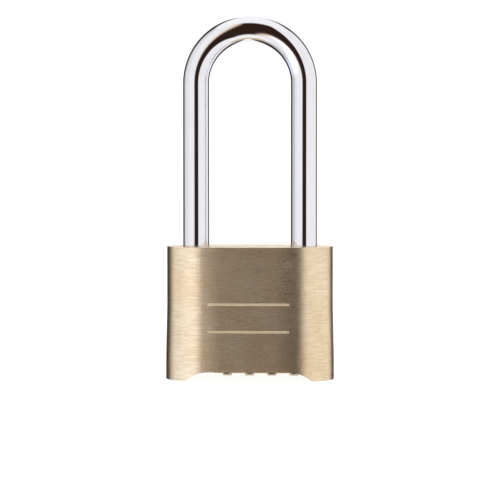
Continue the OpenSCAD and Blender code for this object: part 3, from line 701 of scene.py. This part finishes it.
def model_shackle(colours):
    """One round bar: up from the heel, round the bow and down to the toe."""
    bar = added(
        bpy.ops.mesh.primitive_circle_add, "shackle_bar", vertices=72, radius=ROD_R, fill_type="NGON",
        location=(LEG_X, 0, SHACKLE_LOW.z),
    )
    with editing(bar):
        bpy.ops.mesh.extrude_region_move(TRANSFORM_OT_translate={"value": (0, 0, BOW_Z - SHACKLE_LOW.z)})
        pick(bar, "faces", lambda f: len(f.verts) > 4 and f.calc_center_median().z > BOW_Z - TINY)
        bpy.ops.mesh.spin(steps=72, angle=math.pi, axis=(0, 1, 0), center=(0, 0, BOW_Z))
        pick(bar, "faces", lambda f: len(f.verts) > 4 and f.calc_center_median().x < 0)
        bpy.ops.mesh.extrude_region_move(TRANSFORM_OT_translate={"value": (0, 0, TOE_END - BOW_Z)})
        bpy.ops.mesh.select_all(action="SELECT")
        bpy.ops.mesh.remove_doubles(threshold=1e-7)
        bpy.ops.mesh.normals_make_consistent(inside=False)
        pick(bar, "edges", lambda e: lies(e, lambda c: c.z < SHACKLE_LOW.z + TINY)
             or lies(e, lambda c: c.x < 0 and abs(c.z - TOE_END) < TINY))
        bpy.ops.mesh.bevel(offset=ROD_END_ROUND, segments=5, affect="EDGES")
    # Notch in the toe: level above the latch, with a long ramp below it
    inner, floor_x = -LEG_X + ROD_R, LATCH_LOW.x - 0.1 * MM
    foot, top = LATCH_TIP_Z, LATCH_HIGH.z + 0.2 * MM
    ramp = (inner - floor_x) / NOTCH_SLOPE
    notch = block("toe_notch", (floor_x, -2 * ROD_R, foot), (inner + MM, 2 * ROD_R, top))
    with editing(notch):
        pick(notch, "verts", lambda v: v.co.x > inner and v.co.z < foot + TINY)
        bpy.ops.transform.translate(value=(0, 0, -ramp * (inner + MM - floor_x) / (inner - floor_x)))
        pick(notch, "verts", lambda v: v.co.x > inner and v.co.z > top - TINY)
        bpy.ops.transform.translate(value=(0, 0, inner + MM - floor_x))
    # Neck in the heel: all round at its foot, and a flat for the pin above that
    neck_z, neck_top = SHACKLE_LOW.z + NECK_UP, SHACKLE_LOW.z + NECK_UP + NECK_H
    neck = rod("heel_neck", 2 * ROD_R, (LEG_X, 0, neck_z), (LEG_X, 0, neck_top))
    cut_by(neck, rod("neck_core", ROD_R - NECK_DEPTH, (LEG_X, 0, neck_z - MM), (LEG_X, 0, neck_top + MM), 72))
    flat_end = (PIN_HIGH.x + 0.15 * MM, 2 * ROD_R, PIN_HIGH.z + 0.15 * MM)
    flat = block("heel_flat", (0, -2 * ROD_R, neck_z), flat_end)
    cut_by(bar, notch, neck, flat)
    broken_edges(bar, ROD_CUT_BREAK, 2, 30)
    smoothed(bar)
    return dressed(bar, polished_chrome(colours.chrome), "shackle", "shackle", slot="chrome_rod")


def model_plate(sizes, colours):
    """The plate: a rolled edge, a low ridge over the dials with a raised reading line, and four windows."""
    plate = stadium("plate_face", FACE_L, FACE_T, FACE_Z, PLATE_HIGH.z - LIP_T / 2)
    with editing(plate):
        pick(plate, "edges", lambda e: lies(e, lambda c: c.z < FACE_Z + TINY) and len(e.link_faces) == 2
             and abs(e.link_faces[0].normal.dot(e.link_faces[1].normal)) < 0.5)
        bpy.ops.mesh.bevel(offset=sizes.plate_round, segments=8, affect="EDGES")
    lip_low = PLATE_HIGH.z - LIP_T
    lip = stadium("plate_lip", PLATE_HIGH.x - PLATE_LOW.x, PLATE_HIGH.y - PLATE_LOW.y, lip_low, PLATE_HIGH.z)
    crest = FACE_Z - BAND_H
    band = block("band", (BAND[0], -BAND_W / 2, FACE_Z), (BAND[1], BAND_W / 2, lip_low))
    with editing(band):
        bpy.ops.mesh.bisect(plane_co=(0, 0, 0), plane_no=(0, 1, 0))
        pick(band, "verts", lambda v: abs(v.co.y) < TINY and v.co.z < FACE_Z + TINY)
        bpy.ops.transform.translate(value=(0, 0, -BAND_H))
    trim = stadium("band_outline", BAND[1] - BAND[0], BAND_W, crest - MM, FACE_Z + MM, 64)
    with editing(trim):
        bpy.ops.transform.translate(value=((BAND[0] + BAND[1]) / 2, 0, 0))
    cut_by(band, trim, operation="INTERSECT")
    bead_z = crest + BEAD_R / 3
    bead = rod("reading_line", BEAD_R, (BAND[0] + BEAD_R, 0, bead_z), (BAND[1] - BEAD_R, 0, bead_z), 24)
    cut_by(plate, band, bead, lip, operation="UNION")
    cut_by(plate, rod("hub_hollow", HUB_HOLLOW_R, (HUB_HOLLOW[0], 0, AXIS_Z), (HUB_HOLLOW[1], 0, AXIS_Z), 64))
    for x in DIAL_X:
        left, right = x - WINDOW_W / 2, x + WINDOW_W / 2
        window = block("window", (left, -WINDOW_L / 2, -MM), (right, WINDOW_L / 2, 20 * MM))
        with editing(window):
            pick(window, "edges", lambda e: abs(e.verts[0].co.z - e.verts[1].co.z) > MM)
            bpy.ops.mesh.bevel(offset=WINDOW_R, segments=6, affect="EDGES")
        room = rod("dial_room", DIAL_R + 0.4 * MM, (left, 0, AXIS_Z), (right, 0, AXIS_Z), 96)
        cut_by(plate, window, room)
    broken_edges(plate, sizes.window_break, 3, 28)
    smoothed(plate, 40)
    return dressed(plate, stamped_brass(colours.plate_brass), "case", "bottom_plate", slot="cast_brass")


def model_seal(colours):
    seal = stadium("seal_ring", SEAL_HIGH.x - SEAL_LOW.x, SEAL_HIGH.y - SEAL_LOW.y, SEAL_LOW.z, SEAL_HIGH.z)
    hole = (FACE_L + 0.1 * MM, FACE_T + 0.1 * MM, SEAL_LOW.z - MM, SEAL_HIGH.z + MM)
    cut_by(seal, stadium("seal_hole", *hole))
    broken_edges(seal, 0.2 * MM, 4)
    smoothed(seal)
    return dressed(seal, seal_rubber(colours.rubber), "case", "plate_seal", slot="black_rubber")


def dial_ring():
    """A dial at x = 0: ten flats, a grip notch at each corner and a bore with room for the hub's tooth."""
    ring = rod("dial_ring", DIAL_R, (-DIAL_W / 2, 0, 0), (DIAL_W / 2, 0, 0), DIGITS)
    with editing(ring):
        low = min(ring.data.vertices, key=lambda v: v.co.z).co
        if abs(low.y) < 0.1 * MM:
            bpy.ops.transform.rotate(value=math.radians(STEP / 2), orient_axis="X", center_override=(0, 0, 0))
    broken_edges(ring, CORNER_BREAK, 3, 60)
    tools = [rod("dial_bore", DIAL_BORE, (-DIAL_W, 0, 0), (DIAL_W, 0, 0), 64)]
    for i in range(DIGITS):
        a = math.radians(STEP * i + STEP / 2)
        y, z = DIAL_R * math.sin(a), -DIAL_R * math.cos(a)
        tools.append(rod("grip", GRIP_R, (-DIAL_W, y, z), (DIAL_W, y, z), 16))
    for i in range(DIGITS // 2):
        slot = block(
            "tooth_slot", (-0.1 * MM, -TOOTH_SLOT_R, -TOOTH_SLOT_HALF),
            (DIAL_W, TOOTH_SLOT_R, TOOTH_SLOT_HALF),
        )
        with editing(slot):
            bpy.ops.transform.rotate(value=math.radians(STEP * i), orient_axis="X", center_override=(0, 0, 0))
        tools.append(slot)
    cut_by(ring, *tools)
    broken_edges(ring, DIAL_BREAK, 2, 30)
    return smoothed(ring)


def digit_solid(digit, sizes):
    """A number as a thin raised block at the origin, reading along +X with its top towards -Y, facing -Z."""
    deselect_all()
    bpy.ops.object.text_add()
    text = bpy.context.object
    text.data.body = str(digit)
    text.data.align_x, text.data.align_y = "CENTER", "CENTER"
    text.data.size = sizes.digit_height / 0.7
    text.data.offset = sizes.digit_weight
    text.data.resolution_u = 6
    text.data.extrude = DIGIT_RISE
    bpy.ops.object.convert(target="MESH")
    text = bpy.context.object
    text.name = f"number_{digit}"
    low, high = (
        Vector(f(v.co[i] for v in text.data.vertices) for i in range(3)) for f in (min, max)
    )
    with editing(text):
        bpy.ops.transform.translate(value=-(low + high) / 2)
        squeeze, stretch = min(1, WIDEST_DIGIT / (high.x - low.x)), sizes.digit_height / (high.y - low.y)
        bpy.ops.transform.resize(value=(squeeze, stretch, 1), center_override=(0, 0, 0))
        bpy.ops.transform.rotate(value=math.pi, orient_axis="X", center_override=(0, 0, 0))
    return text


def copied(piece, name):
    take(piece)
    bpy.ops.object.duplicate()
    copy = bpy.context.object
    copy.name = copy.data.name = name
    return copy


def model_dials(sizes, colours):
    ring, numbers = dial_ring(), [digit_solid(n, sizes) for n in range(DIGITS)]
    metal, paint = turned_brass(colours.dial_brass), number_paint(colours.number_paint)
    apothem = DIAL_R * math.cos(math.radians(STEP / 2))
    for k, (dial, x) in enumerate(zip(DIALS, DIAL_X)):
        piece = copied(ring, f"{dial}_ring")
        with editing(piece):
            bpy.ops.transform.translate(value=(x, 0, AXIS_Z))
        dressed(piece, metal, dial, dial, slot="dial_brass")
        around = []
        for n, number in enumerate(numbers):
            sign = copied(number, f"{dial}_number_{n}")
            turn = math.radians(STEP * (n - sizes.rest_code[k]))
            with editing(sign):
                bpy.ops.transform.translate(value=(0, 0, -apothem))
                bpy.ops.transform.rotate(value=turn, orient_axis="X", center_override=(0, 0, 0))
                bpy.ops.transform.translate(value=(x, 0, AXIS_Z))
            around.append(sign)
        take(around[0])
        for sign in around[1:]:
            sign.select_set(True)
        bpy.ops.object.join()
        band = bpy.context.object
        band.name = band.data.name = f"{dial}_numbers"
        with editing(band):
            bpy.ops.mesh.remove_doubles(threshold=1e-7)
            bpy.ops.mesh.normals_make_consistent(inside=False)
        dressed(band, paint, dial, slot="dial_brass")
    for spare in (ring, *numbers):
        bpy.data.objects.remove(spare)


def copied_solid(node, name):
    """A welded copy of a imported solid, with smooth wire."""
    return smoothed(copied(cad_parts[node], name))


def model_springs(colours):
    """The springs that a moving piece presses: two coils, and the fence spring cut into its leaf and its
    hump.
    """
    steel = drawn_steel(colours.steel)
    coils = (("latch_spring", "latch_travel", LATCH_TRAVEL), ("spindle_spring", "spindle_shift", SHIFT))
    for node, joint, travel in coils:
        coil = dressed(copied_solid(node, f"{node}_coil"), steel, "case", node, slot="spring_steel")
        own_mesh(coil)
    leaf_z = FENCE_HIGH.z - HUMP_H
    leaf, hump = (copied_solid("fence_spring", name) for name in ("fence_leaf", "fence_hump"))
    for piece, side in ((leaf, 1), (hump, -1)):
        with editing(piece):
            bpy.ops.mesh.bisect(
                plane_co=(0, 0, leaf_z), plane_no=(0, 0, side), clear_outer=True, use_fill=True,
            )
    dressed(leaf, steel, "case", "fence_spring", slot="spring_steel")
    dressed(hump, steel, "case", slot="spring_steel")
    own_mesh(hump)


def finish_inner_parts(colours):
    """The solids that stay as they are get their finishes."""
    zinc, steel = cast_zinc(colours.zinc), drawn_steel(colours.steel)
    brass, pin = turned_brass(colours.dial_brass), brushed_brass(colours.body_brass)
    finishes = {
        zinc: ["dial_carriage", "latch_slide", "hub_1", "hub_2", "hub_3", "hub_4"],
        steel: ["plate_screws", "click_spring", "spring_rivets", "spindle", "spindle_rings"],
        brass: ["hub_spacers", "change_cam"],
        pin: ["heel_pin", "frame_pins"],
    }
    for material, names in finishes.items():
        for name in names:
            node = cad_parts[name]
            node.data.materials.clear()
            node.data.materials.append(material)


def set_studio(colours):
    """The floor that sweeps up into a backdrop, the lights and the camera."""
    floor = added(
        bpy.ops.mesh.primitive_circle_add, "studio_floor", vertices=96, radius=FLOOR_R, fill_type="NGON",
    )
    height, width = 0.0, FLOOR_R
    with editing(floor):
        pick(floor, "edges", lambda e: True)
        for step in range(1, SWEEP_STEPS + 1):
            a = math.radians(90 / SWEEP_STEPS * step)
            rise, grow = SWEEP_R * (1 - math.cos(a)), SWEEP_R * math.sin(a)
            bpy.ops.mesh.extrude_region_move(TRANSFORM_OT_translate={"value": (0, 0, 0)})
            bpy.ops.transform.translate(value=(0, 0, rise - height))
            bpy.ops.transform.resize(value=((FLOOR_R + grow) / width,) * 2 + (1,), center_override=(0, 0, 0))
            height, width = rise, FLOOR_R + grow
        bpy.ops.mesh.extrude_region_move(TRANSFORM_OT_translate={"value": (0, 0, BACKDROP_H)})
        bpy.ops.mesh.select_all(action="SELECT")
        bpy.ops.mesh.normals_make_consistent(inside=True)
    bpy.ops.object.shade_smooth()
    floor.data.materials.append(matt_floor(colours.floor))
    floor.visible_glossy = floor.visible_diffuse = floor.visible_shadow = False
    add_overhead_light()
    add_soft_tent()
    add_camera()


def add_overhead_light():
    sun_data = bpy.data.lights.new("overhead", "SUN")
    sun_data.energy, sun_data.angle = 1.2, math.radians(50)
    sun = bpy.data.objects.new("overhead", sun_data)
    sun.rotation_euler = (math.radians(24), math.radians(-14), 0)
    bpy.context.scene.collection.objects.link(sun)
    sun.visible_glossy = False


def add_soft_tent():
    """A panel of light on each side with the dark room between them, and light above, below and behind."""
    world = bpy.data.worlds.new("soft_tent")
    bpy.context.scene.world = world
    world.use_nodes = True
    nodes = Nodes(world.node_tree)
    look = nodes.add("TexCoord", out="Generated")
    x, y, z = (nodes.part_of(look, axis) for axis in range(3))
    side = nodes.add("Math", {"operation": "ARCTAN2"}, x, y * -1.0) * (180 / math.pi)
    up = nodes.add("Math", {"operation": "ARCSINE"}, z) * (180 / math.pi)
    other, dip = side * -1.0, up * -1.0
    # The left panel is brighter and tinted a little below level, where only the brushed body catches it
    low = dip.between(LOW_FROM, LOW_TO)
    glare = low * (other.between(GLARE_FROM, GLARE_TO) * 0.4 + 0.4) + LEFT_LIGHT
    left = other.above(*LEFT_FROM) * glare * (1 - other.above(*LEFT_DIM) * 0.12) * (1 - other.above(*LEFT_TO))
    hue = nodes.mix(other.above(*HUE_TO), WARM, nodes.mix(low, WHITE, COOL))
    tint = nodes.mix(abs(up).above(*LOW_FROM), WHITE, hue)
    window = nodes.mix(1.0, tint, left, blend="MULTIPLY")
    right = side.between(RIGHT_FROM, RIGHT_TO) * RIGHT_LIGHT
    below = dip.above(*BELOW_FROM) * (1 - y.above(0.02, 0.2) * 0.9)
    tent = right.at_least(abs(side).above(*BACK_FROM)).at_least(up.above(*OVERHEAD_FROM)).at_least(below)
    glow = nodes.mix(1.0, DARK_ROOM, nodes.mix(1.0, window, tent, blend="LIGHTEN"), blend="ADD")
    seen = nodes.add("LightPath", out="Is Camera Ray")
    shade = nodes.add("Background", None, Color=nodes.mix(seen, glow, BACKGROUND), Strength=1.0)
    nodes.add("OutputWorld", None, Surface=shade)


def add_camera():
    lens = bpy.data.cameras.new("camera")
    camera = bpy.data.objects.new("camera", lens)
    bpy.context.scene.collection.objects.link(camera)
    lens.lens, lens.sensor_width = 191, 36
    turn = math.radians(CAMERA_TURN)
    camera.location = (CAMERA_AWAY * math.sin(turn), -CAMERA_AWAY * math.cos(turn), CAMERA_UP)
    target = Vector((0, 0, CAMERA_AIM))
    camera.rotation_euler = (target - camera.location).to_track_quat("-Z", "Y").to_euler()
    bpy.context.scene.camera = camera
    bpy.context.scene.view_settings.view_transform = "Standard"


# ---------- operators, panel and registration ----------


class PADLOCK_OT_stage(bpy.types.Operator):
    """Adds the floor, the soft tent of light and the camera"""

    bl_idname = "padlock.stage"
    bl_label = "Set the studio"
    bl_options = {"REGISTER", "UNDO"}

    def execute(self, context):
        set_studio(context.scene.padlock_colours)
        return {"FINISHED"}


class PADLOCK_OT_body(bpy.types.Operator):
    """Models the brass body over its solid"""

    bl_idname = "padlock.body"
    bl_label = "Model the body"
    bl_options = {"REGISTER", "UNDO"}

    def execute(self, context):
        model_body(context.scene.padlock_sizes, context.scene.padlock_colours)
        return {"FINISHED"}


class PADLOCK_OT_shackle(bpy.types.Operator):
    """Models the chrome shackle over its solid"""

    bl_idname = "padlock.shackle"
    bl_label = "Model the shackle"
    bl_options = {"REGISTER", "UNDO"}

    def execute(self, context):
        model_shackle(context.scene.padlock_colours)
        return {"FINISHED"}


class PADLOCK_OT_plate(bpy.types.Operator):
    """Models the plate with its band and windows"""

    bl_idname = "padlock.plate"
    bl_label = "Model the bottom plate"
    bl_options = {"REGISTER", "UNDO"}

    def execute(self, context):
        model_plate(context.scene.padlock_sizes, context.scene.padlock_colours)
        return {"FINISHED"}


class PADLOCK_OT_seal(bpy.types.Operator):
    """Models the black ring round the plate"""

    bl_idname = "padlock.seal"
    bl_label = "Model the seal"
    bl_options = {"REGISTER", "UNDO"}

    def execute(self, context):
        model_seal(context.scene.padlock_colours)
        return {"FINISHED"}


class PADLOCK_OT_dials(bpy.types.Operator):
    """Models the four dials and their numbers"""

    bl_idname = "padlock.dials"
    bl_label = "Model the dials"
    bl_options = {"REGISTER", "UNDO"}

    def execute(self, context):
        model_dials(context.scene.padlock_sizes, context.scene.padlock_colours)
        return {"FINISHED"}


class PADLOCK_OT_springs(bpy.types.Operator):
    """Models the springs that the moving pieces press"""

    bl_idname = "padlock.springs"
    bl_label = "Model the springs"
    bl_options = {"REGISTER", "UNDO"}

    def execute(self, context):
        model_springs(context.scene.padlock_colours)
        return {"FINISHED"}


class PADLOCK_OT_inner_parts(bpy.types.Operator):
    """Gives the solids that stay their finishes"""

    bl_idname = "padlock.inner_parts"
    bl_label = "Finish the inner parts"
    bl_options = {"REGISTER", "UNDO"}

    def execute(self, context):
        finish_inner_parts(context.scene.padlock_colours)
        return {"FINISHED"}


OPERATORS = [
    PADLOCK_OT_stage,
    PADLOCK_OT_body,
    PADLOCK_OT_shackle,
    PADLOCK_OT_plate,
    PADLOCK_OT_seal,
    PADLOCK_OT_dials,
    PADLOCK_OT_springs,
    PADLOCK_OT_inner_parts,
]


class PADLOCK_PT_panel(bpy.types.Panel):
    """Sizes, colours and operators of the padlock"""

    bl_idname = "PADLOCK_PT_panel"
    bl_label = "Padlock"
    bl_space_type = "VIEW_3D"
    bl_region_type = "UI"
    bl_category = "Padlock"

    def draw(self, context):
        for group in (context.scene.padlock_sizes, context.scene.padlock_colours):
            box = self.layout.box()
            for key in group.__annotations__:
                box.prop(group, key)
        for operator in OPERATORS:
            self.layout.operator(operator.bl_idname)


CLASSES = [PadlockSizes, PadlockColours, *OPERATORS, PADLOCK_PT_panel]


def register():
    for cls in CLASSES:
        bpy.utils.register_class(cls)
    bpy.types.Scene.padlock_sizes = PointerProperty(type=PadlockSizes)
    bpy.types.Scene.padlock_colours = PointerProperty(type=PadlockColours)


def unregister():
    del bpy.types.Scene.padlock_colours
    del bpy.types.Scene.padlock_sizes
    for cls in reversed(CLASSES):
        bpy.utils.unregister_class(cls)


def main():
    register()
    bpy.ops.padlock.stage()
    bpy.ops.padlock.body()
    bpy.ops.padlock.shackle()
    bpy.ops.padlock.plate()
    bpy.ops.padlock.seal()
    bpy.ops.padlock.dials()
    bpy.ops.padlock.springs()
    bpy.ops.padlock.inner_parts()


if __name__ == "__main__":
    main()
